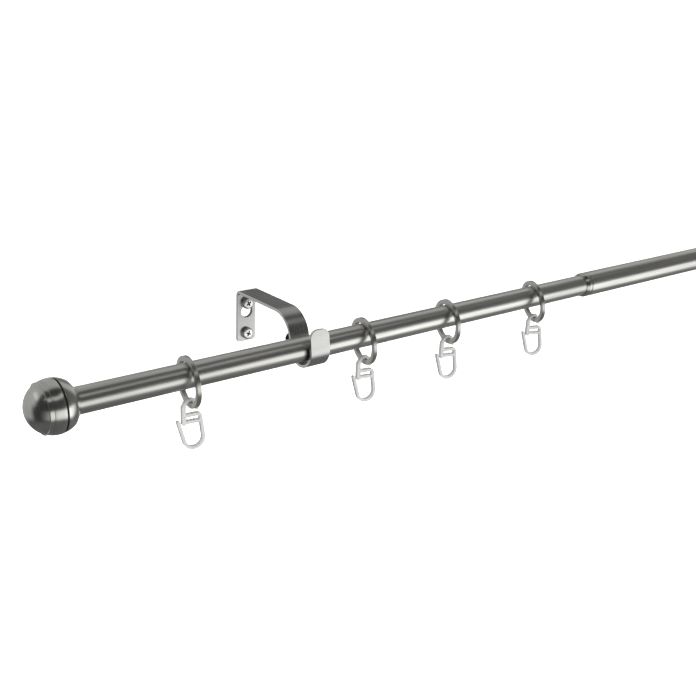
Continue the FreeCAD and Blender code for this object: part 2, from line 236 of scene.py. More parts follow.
# %% Brushed tube
def brushed_tube(name, tone):
    steel = Finish(name, Metallic=1.0)
    fine = steel.grain((7.0, 1500.0, 1500.0), detail=3.0)
    heavy = steel.grain((22.0, 600.0, 600.0), detail=2.0)
    patch = steel.grain((14.0, 40.0, 40.0), detail=2.0)
    steel.tint(steel.between(fine * 0.6 + heavy * 0.4, 0.34, 0.66), tone, 0.86, 1.16)
    steel.set("Roughness", 0.20 + fine * 0.12 + patch * 0.07)
    steel.bump(fine * 0.7 + heavy * 0.5, 0.16, 0.00006)
    return steel.material


NICKEL = (0.60, 0.60, 0.575)
tube_finish = brushed_tube("brushed_tube", NICKEL)
print("tube finish has", len(tube_finish.node_tree.nodes), "nodes")

# %% [markdown]
# ### Turned ball and rolled ring
#
# A ball finial is polished in a lathe, so its marks are circles round the rod's axis: the noise must
# change along the axis and stay the same round it. Each piece is modelled about its own X axis, so
# distance along X and distance from the axis are enough to draw the marks. Rings are cut from tube
# and tumbled, which leaves a duller, more even face.


# %% Turned and tumbled metal
def turned_metal(name, tone, marks, roughness, depth):
    steel = Finish(name, Metallic=1.0)
    parts = steel.add("ShaderNodeSeparateXYZ", inputs={"Vector": steel.place()})
    across = Link(steel, parts.socket.node.outputs["Y"])
    upward = Link(steel, parts.socket.node.outputs["Z"])
    out = (across * across + upward * upward) ** 0.5
    along = steel.add("ShaderNodeCombineXYZ", inputs={"X": parts, "Y": out})
    circles = steel.grain((marks, marks, 1.0), detail=4.0, place=along)
    cloud = steel.grain((70.0, 70.0, 70.0), detail=3.0)
    nick = steel.grain((420.0, 420.0, 420.0), detail=1.0)
    steel.tint(steel.between(circles * 0.5 + cloud * 0.5, 0.32, 0.68), tone, 0.88, 1.12)
    steel.set("Roughness", roughness + circles * 0.09 + cloud * 0.06)
    steel.bump(circles * 0.8 + nick * 0.2, 0.12, depth)
    return steel.material


ball_finish = turned_metal("turned_ball", NICKEL, 1500.0, 0.13, 0.00005)
ring_finish = turned_metal("tumbled_ring", NICKEL, 1900.0, 0.22, 0.00006)
print("turned finishes:", ball_finish.name, ring_finish.name)

# %% [markdown]
# ### Strap steel
#
# The brackets are punched from strip, bent and plated. The strip keeps a faint rolling grain along
# its length, bending leaves it very slightly wavy, and plating gives it a pebbled satin surface. The
# cut rim is smoother from handling, and its much lighter tone is a painted highlight along the edges.
# Geometry's Pointiness would show that only in one renderer, so the rim is a second material slot on
# the rounded faces instead. The walls of the punched holes get a third, rougher and much darker one:
# painted shade for the shadow inside the holes.


# %% Strap steel and its rim
def strap_steel(name, tone, roughness, pebble):
    steel = Finish(name, Metallic=1.0)
    rolled = steel.grain((1400.0, 60.0, 60.0), detail=3.0)
    orange = steel.grain((950.0, 950.0, 950.0), detail=2.0)
    wave = steel.grain((30.0, 120.0, 120.0), detail=1.0)
    cloud = steel.grain((45.0, 45.0, 45.0), detail=2.0)
    steel.tint(steel.between(rolled * 0.5 + cloud * 0.5, 0.30, 0.70), tone, 0.95, 1.05)
    steel.set("Roughness", roughness + rolled * 0.10 + cloud * 0.05)
    steel.bump(rolled * 0.22 + orange * 0.45 + wave * 8.0, pebble, 0.00006)
    return steel.material


strap_finish = strap_steel("satin_strap", (0.46, 0.46, 0.454), 0.19, 0.30)
# The rim finish is smoother from polish, and its lighter tone is a painted highlight along the rim.
rim_polish_and_highlight_finish = strap_steel("polished_rim_and_highlight", (0.74, 0.74, 0.73), 0.16, 0.05)
# The hole finish is much darker: painted shade on the walls of the punched holes.
hole_wall_shade_finish = strap_steel("punched_hole_shade", (0.24, 0.24, 0.235), 0.38, 0.30)
print("strap finishes:", strap_finish.name, rim_polish_and_highlight_finish.name, hole_wall_shade_finish.name)

# %% [markdown]
# ### Zinc, black oxide, rubber and plastic
#
# Wall screws are bright zinc with the faint cloudiness of a plating barrel. The fixing screw is
# blackened, and worn a little where the driver slips. The spacer in the ball is black rubber, the
# hidden guide and plugs are black moulded plastic. One function is enough for everything that isn't
# bare steel: a colour, a second colour that breaks through in spots, and how rough both are.


# %% Plated, blackened and moulded surfaces
def speckled(name, tone, spots, roughness, spread, metallic, size, depth):
    skin = Finish(name, Metallic=metallic)
    cloud = skin.grain((size, size, size), detail=3.0)
    pits = skin.grain((size * 6, size * 6, size * 6), detail=2.0)
    worn = skin.between(cloud * 0.7 + pits * 0.3, 0.50, 0.72)
    skin.set("Base Color", skin.blend(worn, (*tone, 1.0), (*spots, 1.0)))
    skin.set("Roughness", roughness + cloud * spread + pits * spread)
    skin.bump(pits * 0.6 + cloud * 0.4, 0.2, depth)
    return skin.material


zinc_finish = speckled(
    "bright_zinc", (0.78, 0.79, 0.80), (0.66, 0.66, 0.65), 0.14, 0.10, 1.0, 240, 0.00005)
# The recess finish is the screws' zinc made dark: painted shade in the cross recess.
recess_shade_finish = speckled(
    "recess_zinc_shade", (0.16, 0.16, 0.16), (0.07, 0.07, 0.07), 0.45, 0.15, 1.0, 400, 0.00005)
black_finish = speckled(
    "black_oxide", (0.018, 0.018, 0.019), (0.09, 0.09, 0.09), 0.30, 0.15, 0.6, 300, 0.00005)
# This finish is the real black rubber of the spacer, and also painted shade in the fixing screws'
# recess.
rubber_and_recess_shade_finish = speckled(
    "black_rubber_and_recess_shade", (0.010, 0.010, 0.010), (0.020, 0.020, 0.020), 0.62, 0.12, 0.0, 500, 0.00008)
moulded_finish = speckled(
    "moulded_black", (0.030, 0.030, 0.031), (0.05, 0.05, 0.05), 0.42, 0.10, 0.0, 350, 0.00008)
print("five plain finishes made")

# %% [markdown]
# ### Hook plastic and the collar
#
# The pleat hooks are milky polypropylene that lets some light through, with weak flow lines from the
# mould. The collar is plastic too, but it is metallised to match the tube, which leaves it smoother
# and a touch darker.


# %% Hook plastic and collar
def milky_plastic(name):
    milk = Finish(name, IOR=1.49)
    flow = milk.grain((160.0, 160.0, 420.0), detail=3.0)
    pits = milk.grain((900.0, 900.0, 900.0), detail=1.0)
    milk.set("Base Color", milk.blend(flow, (0.62, 0.62, 0.61, 1.0), (0.74, 0.74, 0.73, 1.0)))
    milk.set("Roughness", 0.26 + flow * 0.12 + pits * 0.08)
    milk.set("Alpha", 0.68 + flow * 0.14)
    milk.bump(pits, 0.12, 0.00006)
    return milk.material


hook_finish = milky_plastic("milky_hook")
collar_finish = turned_metal("metallised_collar", (0.55, 0.55, 0.535), 700.0, 0.16, 0.00003)
print("plastics:", hook_finish.name, collar_finish.name)

# %% [markdown]
# ## From a mesh in millimetres to a piece on the frame
#
# `place_piece` is the one road from a shape to the finished object. It shrinks the mesh, shades it
# smooth except at real edges, hides the CAD piece that it stands for, and lets it ride on the same
# body. The object keeps its own origin, so that the grain of a turned part runs round its own axis.

# %% Put a piece in the place of a CAD piece
EDGE_ANGLE = math.radians(38)
finish_of_slot = {
    "thin_tube": tube_finish, "thick_tube": tube_finish, "collar": collar_finish,
    "guide_plastic": moulded_finish, "bracket_steel": strap_finish, "fixing_screw": black_finish,
    "wall_screw": zinc_finish, "finial": ball_finish, "spacer": rubber_and_recess_shade_finish, "stud": zinc_finish,
    "plug": moulded_finish, "ring": ring_finish, "hook": hook_finish,
}


def place_piece(mesh, node, matrix, extra_finishes=()):
    """Make an object of a mesh in millimetres and let it stand for a CAD piece."""
    piece = bpy.data.objects.new("made_" + node, mesh)
    bpy.context.scene.collection.objects.link(piece)
    if not mesh.materials:
        mesh.transform(Matrix.Scale(MM, 4))
        for finish in (finish_of_slot[slot_of[node]], *extra_finishes):
            mesh.materials.append(finish)
        mesh.shade_smooth()
        mesh.set_sharp_from_angle(angle=EDGE_ANGLE)
    piece.matrix_world = matrix
    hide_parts(node)
    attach(piece, body_of[node])
    return piece


def mesh_of(build, name):
    """Turn a filled bmesh into a mesh."""
    mesh = bpy.data.meshes.new(name)
    bmesh.ops.recalc_face_normals(build, faces=build.faces)
    build.to_mesh(mesh)
    build.free()
    return mesh


def skin_rows(build, rows):
    """Close a stack of equal rows of points into a solid."""
    for first, second in zip(rows, rows[1:]):
        for k in range(len(first)):
            n = (k + 1) % len(first)
            build.faces.new([first[k], first[n], second[n], second[k]])
    build.faces.new(rows[0])
    build.faces.new(rows[-1][::-1])


print("finishes for", len(finish_of_slot), "slots")

# %% [markdown]
# ## Turning on the lathe
#
# Tubes, collar, finials, rings and screw heads are all bodies of revolution. A modifier could spin a
# profile, but a few lines of bmesh keep the seam closed and the poles clean. Real turned parts have
# no knife edges, so `eased` first rounds every corner of the outline, which is what makes the bright
# line along an edge.


# %% Round the corners of an outline
def eased(outline, radius, closed=True):
    """Outline of (x, r) corners with each corner rounded off by a small curve."""
    smooth = []
    count = len(outline)
    for i, corner in enumerate(outline):
        if not closed and i in (0, count - 1):
            smooth.append(corner)
            continue
        here = Vector(corner)
        before = Vector(outline[i - 1])
        after = Vector(outline[(i + 1) % count])
        back = min(radius, (before - here).length * 0.45)
        on = min(radius, (after - here).length * 0.45)
        start = here + (before - here).normalized() * back
        end = here + (after - here).normalized() * on
        for t in (0.0, 0.25, 0.5, 0.75, 1.0):
            bent = start.lerp(here, t).lerp(here.lerp(end, t), t)
            smooth.append(tuple(bent))
    return smooth


print("a square has", len(eased([(0, 1), (1, 1), (1, 2), (0, 2)], 0.1)), "points once eased")


# %% Spin an outline about X
def lathe(name, outline, segments=96, closed=True):
    """Mesh of an outline spun about X. Points on the axis become poles."""
    build = bmesh.new()
    rows = []
    for x, radius in outline:
        if radius < 1e-5:
            rows.append([build.verts.new((x, 0, 0))])
            continue
        angles = [2 * math.pi * k / segments for k in range(segments)]
        rows.append([build.verts.new((x, radius * math.cos(a), radius * math.sin(a))) for a in angles])
    pairs = list(zip(rows, rows[1:] + rows[:1])) if closed else list(zip(rows, rows[1:]))
    for first, second in pairs:
        for k in range(segments):
            n = (k + 1) % segments
            corners = [first[k % len(first)], first[n % len(first)]]
            corners += [second[n % len(second)], second[k % len(second)]]
            corners = list(dict.fromkeys(corners))
            if len(corners) > 2:
                build.faces.new(corners)
    return mesh_of(build, name)


print("lathe ready")

# %% [markdown]
# ## The two tubes
#
# The tubes' ends and sizes come straight from the frame, and only the wall is a named value. The
# mouth of a cut and deburred tube is slightly rounded.

# %% Tubes
TUBE_WALL = 0.6
TUBE_EDGE = 0.22
TUBE_SIDES = 128


def make_tube(node):
    low, high = box_mm(node)
    radius = (high.z - low.z) / 2
    middle_y = (low.y + high.y) / 2
    half = (high.x - low.x) / 2
    bore = radius - TUBE_WALL
    outline = eased([(-half, bore), (-half, radius), (half, radius), (half, bore)], TUBE_EDGE)
    place = shift_mm((low.x + high.x) / 2, middle_y, 0)
    place_piece(lathe(node, outline, TUBE_SIDES), node, place)
    return radius, middle_y


thin_radius, rod_y = make_tube("inner_tube")
thick_radius, rod_y = make_tube("outer_tube")
print("tube radii", round(thin_radius, 2), round(thick_radius, 2), "mm, axis at y", round(rod_y, 2))

# %% [markdown]
# ## The collar
#
# The thicker tube ends in a plastic collar: a head as wide as the tube with a sloping shoulder, a fine
# groove just before the seam, and a spigot pressed into the tube. The groove and the seam together are
# the dark line where the two tubes meet.

# %% Collar
COLLAR_SPIGOT = 14.0
SHOULDER_LONG, SHOULDER_HIGH = 3.0, 1.2
GROOVE_BACK, GROOVE_WIDTH, GROOVE_DEPTH = 0.6, 0.45, 0.35
COLLAR_EDGE = 0.16
BEARING_GAP = 0.08
PRESS_GAP = 0.05

low, high = box_mm("outer_tube_collar")
head = high.x - low.x - COLLAR_SPIGOT
mouth = thin_radius + BEARING_GAP
spigot = thick_radius - TUBE_WALL - PRESS_GAP
groove_left = head - GROOVE_BACK - GROOVE_WIDTH / 2
groove_right = groove_left + GROOVE_WIDTH
collar_outline = eased([
    (0, mouth), (0, thick_radius - SHOULDER_HIGH), (SHOULDER_LONG, thick_radius),
    (groove_left, thick_radius), (groove_left, thick_radius - GROOVE_DEPTH),
    (groove_right, thick_radius - GROOVE_DEPTH), (groove_right, thick_radius),
    (head, thick_radius), (head, spigot), (head + COLLAR_SPIGOT, spigot), (head + COLLAR_SPIGOT, mouth),
], COLLAR_EDGE)
collar = lathe("collar", collar_outline, TUBE_SIDES)
place_piece(collar, "outer_tube_collar", shift_mm(low.x, rod_y, 0))
print("collar head is", round(head, 2), "mm long")

# %% [markdown]
# ## The ball finials
#
# Each ball is two turned pieces clamped on a black spacer, so it shows one narrow dark line. Towards
# the nose the front piece has one turned step: a short straight land with a small shoulder each side.
# The left and right balls are mirror images of each other along the rod. Both are built with the
# tube's end at 0 and the nose towards +X, and the matrix turns the left one round.

# %% Finial sizes
BALL_RADIUS = 16.0
SPLIT_OUT = 10.8
SPACER_THICK = 1.1
SPACER_INSET = 0.9
STEP_OUT, STEP_WIDTH, STEP_DEPTH = 19.2, 2.6, 0.35
CONE_LENGTH = 3.8
CONE_LIP = 0.4
TUBE_SEAT = 8.6
STUD_BORE, STUD_REACH = 2.55, 15.0
STEP_EDGE, CONE_EDGE, SPLIT_EDGE, SPACER_EDGE = 0.10, 0.20, 0.25, 0.15
BALL_SIDES = 160

right_end = box_mm("finial_rear_right")[0].x
ball_centre = box_mm("finial_front_right")[1].x - right_end - BALL_RADIUS
left_end = box_mm("finial_rear_left")[1].x
print("ball centres stand", round(ball_centre, 2), "mm beyond the tubes")


# %% Outlines of the ball's pieces
def ball_arc(start, end, steps):
    """Points on the ball from one place along the rod to another, evenly spaced by angle."""
    first = math.acos((start - ball_centre) / BALL_RADIUS)
    last = math.acos(max(-1.0, min(1.0, (end - ball_centre) / BALL_RADIUS)))
    points = []
    for i in range(steps + 1):
        angle = first + (last - first) * i / steps
        points.append((ball_centre + BALL_RADIUS * math.cos(angle), BALL_RADIUS * math.sin(angle)))
    return points


def front_outline():
    back = SPLIT_OUT + SPACER_THICK / 2
    nose = ball_centre + BALL_RADIUS
    before = ball_arc(back, STEP_OUT - STEP_WIDTH / 2, 22)
    after = ball_arc(STEP_OUT + STEP_WIDTH / 2, nose, 40)
    land = before[-1][1] - STEP_DEPTH
    corners = [before[-2], before[-1], (before[-1][0], land), (after[0][0], land), after[0], after[1]]
    rounded_step = eased(corners, STEP_EDGE, closed=False)
    rounded_back = eased([(back, STUD_BORE), before[0], before[1]], SPLIT_EDGE, closed=False)
    depth = TUBE_SEAT + STUD_REACH
    bore = [(depth, 0.0), (depth, STUD_BORE)]
    return bore + rounded_back[:-1] + before[1:-2] + rounded_step + after[2:-1] + [(nose, 0.0)]


front_points = front_outline()
print("front outline has", len(front_points), "points")


# %% Make both finials
def rear_outline(tube_radius):
    face = SPLIT_OUT - SPACER_THICK / 2
    arc = ball_arc(CONE_LENGTH, face, 26)
    seat = tube_radius + PRESS_GAP
    lip = eased([(0, seat), (0, tube_radius + CONE_LIP), arc[0], arc[1]], CONE_EDGE, closed=False)
    rim = eased([arc[-2], arc[-1], (face, STUD_BORE), (TUBE_SEAT, STUD_BORE)], SPLIT_EDGE, closed=False)
    return lip[:-1] + arc[1:-2] + rim + [(TUBE_SEAT, seat)]


def make_finial(side, end_x, tube_radius, turn):
    place = shift_mm(end_x, rod_y, 0) @ Matrix.Rotation(turn, 4, "Z")
    front = lathe("finial_front", front_points, BALL_SIDES, closed=False)
    place_piece(front, "finial_front_" + side, place)
    rear = lathe("finial_rear", rear_outline(tube_radius), BALL_SIDES)
    place_piece(rear, "finial_rear_" + side, place)
    edge = math.sqrt(BALL_RADIUS ** 2 - (SPLIT_OUT - ball_centre) ** 2) - SPACER_INSET
    start, stop = SPLIT_OUT - SPACER_THICK / 2, SPLIT_OUT + SPACER_THICK / 2
    disc = eased([(start, STUD_BORE), (start, edge), (stop, edge), (stop, STUD_BORE)], SPACER_EDGE)
    place_piece(lathe("finial_spacer", disc), "finial_spacer_" + side, place)


make_finial("left", left_end, thin_radius, math.pi)
make_finial("right", right_end, thick_radius, 0.0)
print("finials at x", round(left_end, 1), "and", round(right_end, 1), "mm")

# %% [markdown]
# ## The brackets
#
# A bracket is a flat strip with punched holes that is then bent. The best way to model it is the way
# it is made. A 2D curve gives the blank its outline, its holes and its rounded rim. The blank is cut
# into narrow bands, and each point is then carried to its place along the bent middle line, so that
# the bends stay smooth and the rim runs round them without a break.

# %% Bracket sizes
STRAP_THICK = 2.0
STRAP_EDGE = 0.35
PLATE_BEND = 1.5
NECK_RADIUS = 19.0
SADDLE_CLEAR = 0.8
SADDLE_SHIFT = 0.4
LIP_WRAP = math.radians(8.0)
LIP_TOP = 15.0
PLATE_CORNER, LIP_CORNER = 2.4, 5.6
SCREW_HOLE = 4.6
KEYHOLE_ENTRY, KEYHOLE_DROP = 8.6, 6.2
FIXING_HOLE = 4.12

strap_low, strap_high = box_mm("bracket_left")
strap_width = strap_high.x - strap_low.x
plate_foot = strap_low.z
arm_top = strap_high.z
upper_z = sum(corner.z for corner in box_mm("wall_screw_left_upper")) / 2
lower_z = sum(corner.z for corner in box_mm("wall_screw_left_lower")) / 2
print("strap is", round(strap_width, 2), "mm wide, arm", round(arm_top, 2), "mm above the rod")


# %% The bent middle line
def bend_plan():
    """Runs of the strap's middle line as (length, radius): radius 0 is straight, minus turns back."""
    half = STRAP_THICK / 2
    saddle_inner = thick_radius + SADDLE_CLEAR
    saddle_y = rod_y + SADDLE_SHIFT
    neck_z = arm_top - NECK_RADIUS
    neck_y = saddle_y + math.sqrt((NECK_RADIUS + saddle_inner) ** 2 - neck_z ** 2)
    over = math.atan2(neck_z, neck_y - saddle_y)
    bend_outer = PLATE_BEND + STRAP_THICK
    lip_foot = saddle_inner * math.sin(LIP_WRAP)
    return [
        (arm_top - bend_outer - plate_foot, 0.0),
        ((PLATE_BEND + half) * math.pi / 2, PLATE_BEND + half),
        (-bend_outer - neck_y, 0.0),
        ((NECK_RADIUS - half) * (math.pi / 2 + over), NECK_RADIUS - half),
        ((saddle_inner + half) * (over + math.pi + LIP_WRAP), -(saddle_inner + half)),
        ((LIP_TOP - lip_foot) / math.cos(LIP_WRAP), 0.0),
    ], over


strap_runs, neck_over = bend_plan()
strap_length = sum(length for length, radius in strap_runs)
print("the blank is", round(strap_length, 1), "mm long")


# %% Bend a flat point
def bent(along, out):
    """Place (y, z) of a point that far along the strap and that far out of its middle."""
    y, z, heading = -STRAP_THICK / 2, plate_foot, math.pi / 2
    for i, (length, radius) in enumerate(strap_runs):
        step = along if i == len(strap_runs) - 1 else min(along, length)
        if radius:
            turn = step / radius
            y += radius * (math.sin(heading + turn) - math.sin(heading))
            z -= radius * (math.cos(heading + turn) - math.cos(heading))
            heading += turn
        else:
            y += step * math.cos(heading)
            z += step * math.sin(heading)
        along -= step
        if along <= 1e-9:
            break
    return y + out * math.sin(heading), z - out * math.cos(heading)


print("the lip ends at", [round(v, 2) for v in bent(strap_length, 0)], "mm")


# %% Outline and holes of the blank
QUARTER = math.pi / 2


def arc_points(centre, radius, start, sweep, steps):
    """Points on an arc, with both of its ends."""
    angles = [start + sweep * i / steps for i in range(steps + 1)]
    return [(centre[0] + radius * math.cos(a), centre[1] + radius * math.sin(a)) for a in angles]


def circle_points(centre, radius, start=0.0, sweep=2 * math.pi, steps=40):
    """Points on an arc or a circle, without its last one."""
    return arc_points(centre, radius, start, sweep, steps)[:-1]


def blank_outline():
    right, left = strap_width / 2 - LIP_CORNER, LIP_CORNER - strap_width / 2
    plate_right, plate_left = strap_width / 2 - PLATE_CORNER, PLATE_CORNER - strap_width / 2
    lip = strap_length - LIP_CORNER
    points = arc_points((right, lip), LIP_CORNER, 0, QUARTER, 8)
    points += arc_points((left, lip), LIP_CORNER, QUARTER, QUARTER, 8)
    points += arc_points((plate_left, PLATE_CORNER), PLATE_CORNER, math.pi, QUARTER, 8)
    return points + arc_points((plate_right, PLATE_CORNER), PLATE_CORNER, 3 * QUARTER, QUARTER, 8)


def keyhole_points():
    top = upper_z - plate_foot
    entry = top - KEYHOLE_DROP
    slot = SCREW_HOLE / 2
    big = KEYHOLE_ENTRY / 2
    gap = math.acos(slot / big)
    lower = circle_points((0, entry), big, math.pi - gap, math.pi + 2 * gap, 36)
    upper = circle_points((0, top), slot, 0.0, math.pi, 18)
    return lower + [(slot, entry + big * math.sin(gap))] + upper + [(-slot, top)]


fixing_at = sum(length for length, radius in strap_runs[:4])
fixing_at += (thick_radius + SADDLE_CLEAR + STRAP_THICK / 2) * neck_over
holes = [keyhole_points(), circle_points((0, lower_z - plate_foot), SCREW_HOLE / 2)]
holes.append(circle_points((0, fixing_at), FIXING_HOLE / 2))
print("the fixing hole is", round(fixing_at, 1), "mm along the blank")


# %% Punch, cut into bands, and bend
def flat_blank():
    """The blank as a filled 2D curve with a rounded rim, turned into a mesh."""
    sheet = bpy.data.curves.new("blank", "CURVE")
    sheet.dimensions = "2D"
    sheet.fill_mode = "BOTH"
    sheet.extrude = STRAP_THICK / 2 - STRAP_EDGE
    sheet.bevel_depth = STRAP_EDGE
    sheet.bevel_resolution = 3
    sheet.offset = -STRAP_EDGE
    for points in [blank_outline(), *holes]:
        spline = sheet.splines.new("POLY")
        spline.points.add(len(points) - 1)
        spline.use_cyclic_u = True
        for point, (x, y) in zip(spline.points, points):
            point.co = (x, y, 0, 1)
    holder = bpy.data.objects.new("blank", sheet)
    mesh = bpy.data.meshes.new_from_object(holder)
    bpy.data.objects.remove(holder)
    return mesh


HOLE_MARGIN = 1.8
BAND_LONG = 0.8
WELD = 0.002


def bracket_mesh():
    build = bmesh.new()
    build.from_mesh(flat_blank())
    bmesh.ops.remove_doubles(build, verts=build.verts, dist=WELD)
    bands = int(strap_length / BAND_LONG)
    for i in range(1, bands):
        whole = build.verts[:] + build.edges[:] + build.faces[:]
        spot = (0, strap_length * i / bands, 0)
        bmesh.ops.bisect_plane(build, geom=whole, dist=1e-5, plane_co=spot, plane_no=(0, 1, 0))
    flat_side = STRAP_THICK / 2 - 0.01
    for face in build.faces:
        middle = face.calc_center_median()
        from_end = min(middle.y, strap_length - middle.y)
        in_hole = strap_width / 2 - abs(middle.x) > HOLE_MARGIN and from_end > HOLE_MARGIN
        on_flat = all(abs(v.co.z) > flat_side for v in face.verts)
        # Rim faces take the lighter finish, a painted edge highlight, and hole walls the dark one,
        # painted shade in the holes.
        face.material_index = 0 if on_flat else 2 if in_hole else 1
    for vert in build.verts:
        y, z = bent(vert.co.y, vert.co.z)
        vert.co = (vert.co.x, y, z)
    return mesh_of(build, "bent_strap")


strap_mesh = bracket_mesh()
print("bent strap has", len(strap_mesh.polygons), "faces")

# %% Both brackets
for side in ("left", "right"):
    low, high = box_mm("bracket_" + side)
    place = Matrix.Translation(((low.x + high.x) / 2 * MM, 0, 0))
    bracket = place_piece(strap_mesh, "bracket_" + side, place, (rim_polish_and_highlight_finish, hole_wall_shade_finish))
    bracket.modifiers.new("even_light", "WEIGHTED_NORMAL").keep_sharp = True
    size = bracket.dimensions / MM
    print(side, "bracket:", [round(v, 2) for v in size], "CAD:", [round(v, 2) for v in high - low])

# %% [markdown]
# ## Screws
#
# A pan head is a lathe job with a cross recess. The recess has wings that narrow towards its floor,
# so a straight cross would look wrong: here it is cut with a tapered cutter by a boolean.
# Behind the plate each wall screw has a real helical thread. A thread is a tube of points whose
# radius rises and falls with the turn, which needs no sweep and can't cross itself.

# %% Screw sizes
HEAD_HEIGHT, HEAD_RADIUS, HEAD_ROUND = 2.8, 4.1, 1.1
FIXING_HEAD_HEIGHT, FIXING_HEAD_RADIUS, FIXING_HEAD_ROUND = 2.8, 3.7, 0.9
CROWN_OVAL, CROWN_RISE, HEAD_EDGE, HEAD_SIDES = 1.25, 0.1, 0.2, 72
RECESS_REACH, RECESS_WIDTH, RECESS_DEPTH = 2.2, 1.15, 1.7
RECESS_FLOOR_REACH, RECESS_FLOOR_WIDTH = 0.9, 0.55
CUTTER_ABOVE = 0.5
THREAD_PITCH, THREAD_RADIUS, ROOT_RADIUS = 1.8, 2.0, 1.35
THREAD_SIDES, ROWS_PER_TURN, RIDGE_SLOPE = 40, 12, 4.5
POINT_TIP = 0.12
SCREW_NECK = 1.8
SCREW_POINT = 5.0
FIXING_PITCH, FIXING_CREST, FIXING_ROOT = 0.7, 2.0, 1.75
FIXING_TURN = 0.5
SCREW_TURNS = {"left_upper": 28, "left_lower": -24, "right_upper": 12, "right_lower": 40}
print("thread pitch", THREAD_PITCH, "mm")


# %% Cross recess cutter
def cutter_mesh():
    """Tapered cross that points towards -X, with its wide end above x = 0."""
    build = bmesh.new()
    ends = [(CUTTER_ABOVE, RECESS_REACH * 1.06, RECESS_WIDTH),
            (-RECESS_DEPTH, RECESS_FLOOR_REACH, RECESS_WIDTH * RECESS_FLOOR_WIDTH)]
    for turn in (0, QUARTER):
        rows = []
        for x, reach, width in ends:
            row = []
            for a, b in [(-1, -1), (1, -1), (1, 1), (-1, 1)]:
                spot = Vector((x, a * reach, b * width / 2))
                row.append(build.verts.new(Matrix.Rotation(turn, 3, "X") @ spot))
            rows.append(row)
        skin_rows(build, rows)
    return mesh_of(build, "cross_cutter")


def pan_head_mesh(radius, height, rounding):
    """Head with its underside at x = 0 and its crown at x = height, with a cross cut into it."""
    crown = [(height - rounding * (1 - math.cos(a)), radius - rounding * (1 - math.sin(a)) * CROWN_OVAL)
             for a in [math.radians(d) for d in (90, 72, 54, 36, 18, 0)]]
    outline = eased([(0, 0), (0, radius), crown[0]], HEAD_EDGE, closed=False) + crown[1:]
    outline += [(height + CROWN_RISE * 0.6, radius * 0.4), (height + CROWN_RISE, 0.0)]
    head = bpy.data.objects.new("head", lathe("head", outline, HEAD_SIDES, closed=False))
    knife = bpy.data.objects.new("knife", cutter_mesh())
    for thing in (head, knife):
        bpy.context.scene.collection.objects.link(thing)
    knife.location = (height, 0, 0)
    cut = head.modifiers.new("cut", "BOOLEAN")
    cut.operation = "DIFFERENCE"
    cut.solver = "EXACT"
    cut.use_self = True
    cut.object = knife
    bpy.context.view_layer.update()
    result = bpy.data.meshes.new_from_object(head.evaluated_get(bpy.context.evaluated_depsgraph_get()))
    for thing in (head, knife):
        bpy.data.objects.remove(thing)
    return result


head_mesh = pan_head_mesh(HEAD_RADIUS, HEAD_HEIGHT, HEAD_ROUND)
fixing_head_mesh = pan_head_mesh(FIXING_HEAD_RADIUS, FIXING_HEAD_HEIGHT, FIXING_HEAD_ROUND)
print("heads have", len(head_mesh.polygons), "and", len(fixing_head_mesh.polygons), "faces")


# %% Threads
def thread_rows(build, start, end, pitch, crest, root, point):
    """Threaded shank along -X from x = -start to x = -end, with a point of that length."""
    steps = int((end - start) / pitch * ROWS_PER_TURN)
    rows = []
    for i in range(steps + 1):
        along = start + (end - start) * i / steps
        left = end - along
        fade = min(1.0, left / point) if point else min(1.0, left / pitch + 0.35)
        shrink = POINT_TIP + (1 - POINT_TIP) * fade if point else fade ** 0.3
        row = []
        for k in range(THREAD_SIDES):
            angle = 2 * math.pi * k / THREAD_SIDES
            phase = (along / pitch - k / THREAD_SIDES) % 1.0
            ridge = max(0.0, 1 - abs(phase - 0.5) * RIDGE_SLOPE)
            body = (root + (crest - root) * ridge) * shrink
            row.append(build.verts.new((-along, body * math.cos(angle), body * math.sin(angle))))
        rows.append(row)
    skin_rows(build, rows)


def screw_mesh(name, head, neck_end, end, pitch, crest, root, point):
    """A head mesh with its neck and its threaded shank, along -X from the head's underside."""
    build = bmesh.new()
    build.from_mesh(head)
    thread_rows(build, neck_end, end, pitch, crest, root, point)
    if neck_end:
        outline = [(-neck_end, 0), (-neck_end, SCREW_NECK), (0, SCREW_NECK), (0, 0)]
        build.from_mesh(lathe("neck", outline, THREAD_SIDES, closed=False))
    crown = max(v.co.x for v in build.verts)
    for face in build.faces:
        middle = face.calc_center_median()
        inside = math.hypot(middle.y, middle.z) < RECESS_REACH * 1.05
        # Faces inside the cross recess take the second finish, which is darker than the head: painted
        # shade in the recess.
        face.material_index = 1 if inside and 0.3 < middle.x < crown - 0.12 else 0
    return mesh_of(build, name)


print("a turn of thread is", ROWS_PER_TURN, "rows of", THREAD_SIDES, "points")

# %% Wall screws
low, high = box_mm("wall_screw_left_upper")
screw_length = high.y + STRAP_THICK
wall_screw_mesh = screw_mesh("wall_screw", head_mesh, STRAP_THICK, screw_length, THREAD_PITCH,
                             THREAD_RADIUS, ROOT_RADIUS, SCREW_POINT)
for place_name, turn in SCREW_TURNS.items():
    node = "wall_screw_" + place_name
    low, high = box_mm(node)
    place = shift_mm((low.x + high.x) / 2, -STRAP_THICK, (low.z + high.z) / 2)
    face_room = Matrix.Rotation(-QUARTER, 4, "Z") @ Matrix.Rotation(math.radians(turn), 4, "X")
    place_piece(wall_screw_mesh, node, place @ face_room, (recess_shade_finish,))
print("wall screws are", round(screw_length, 1), "mm under the head")

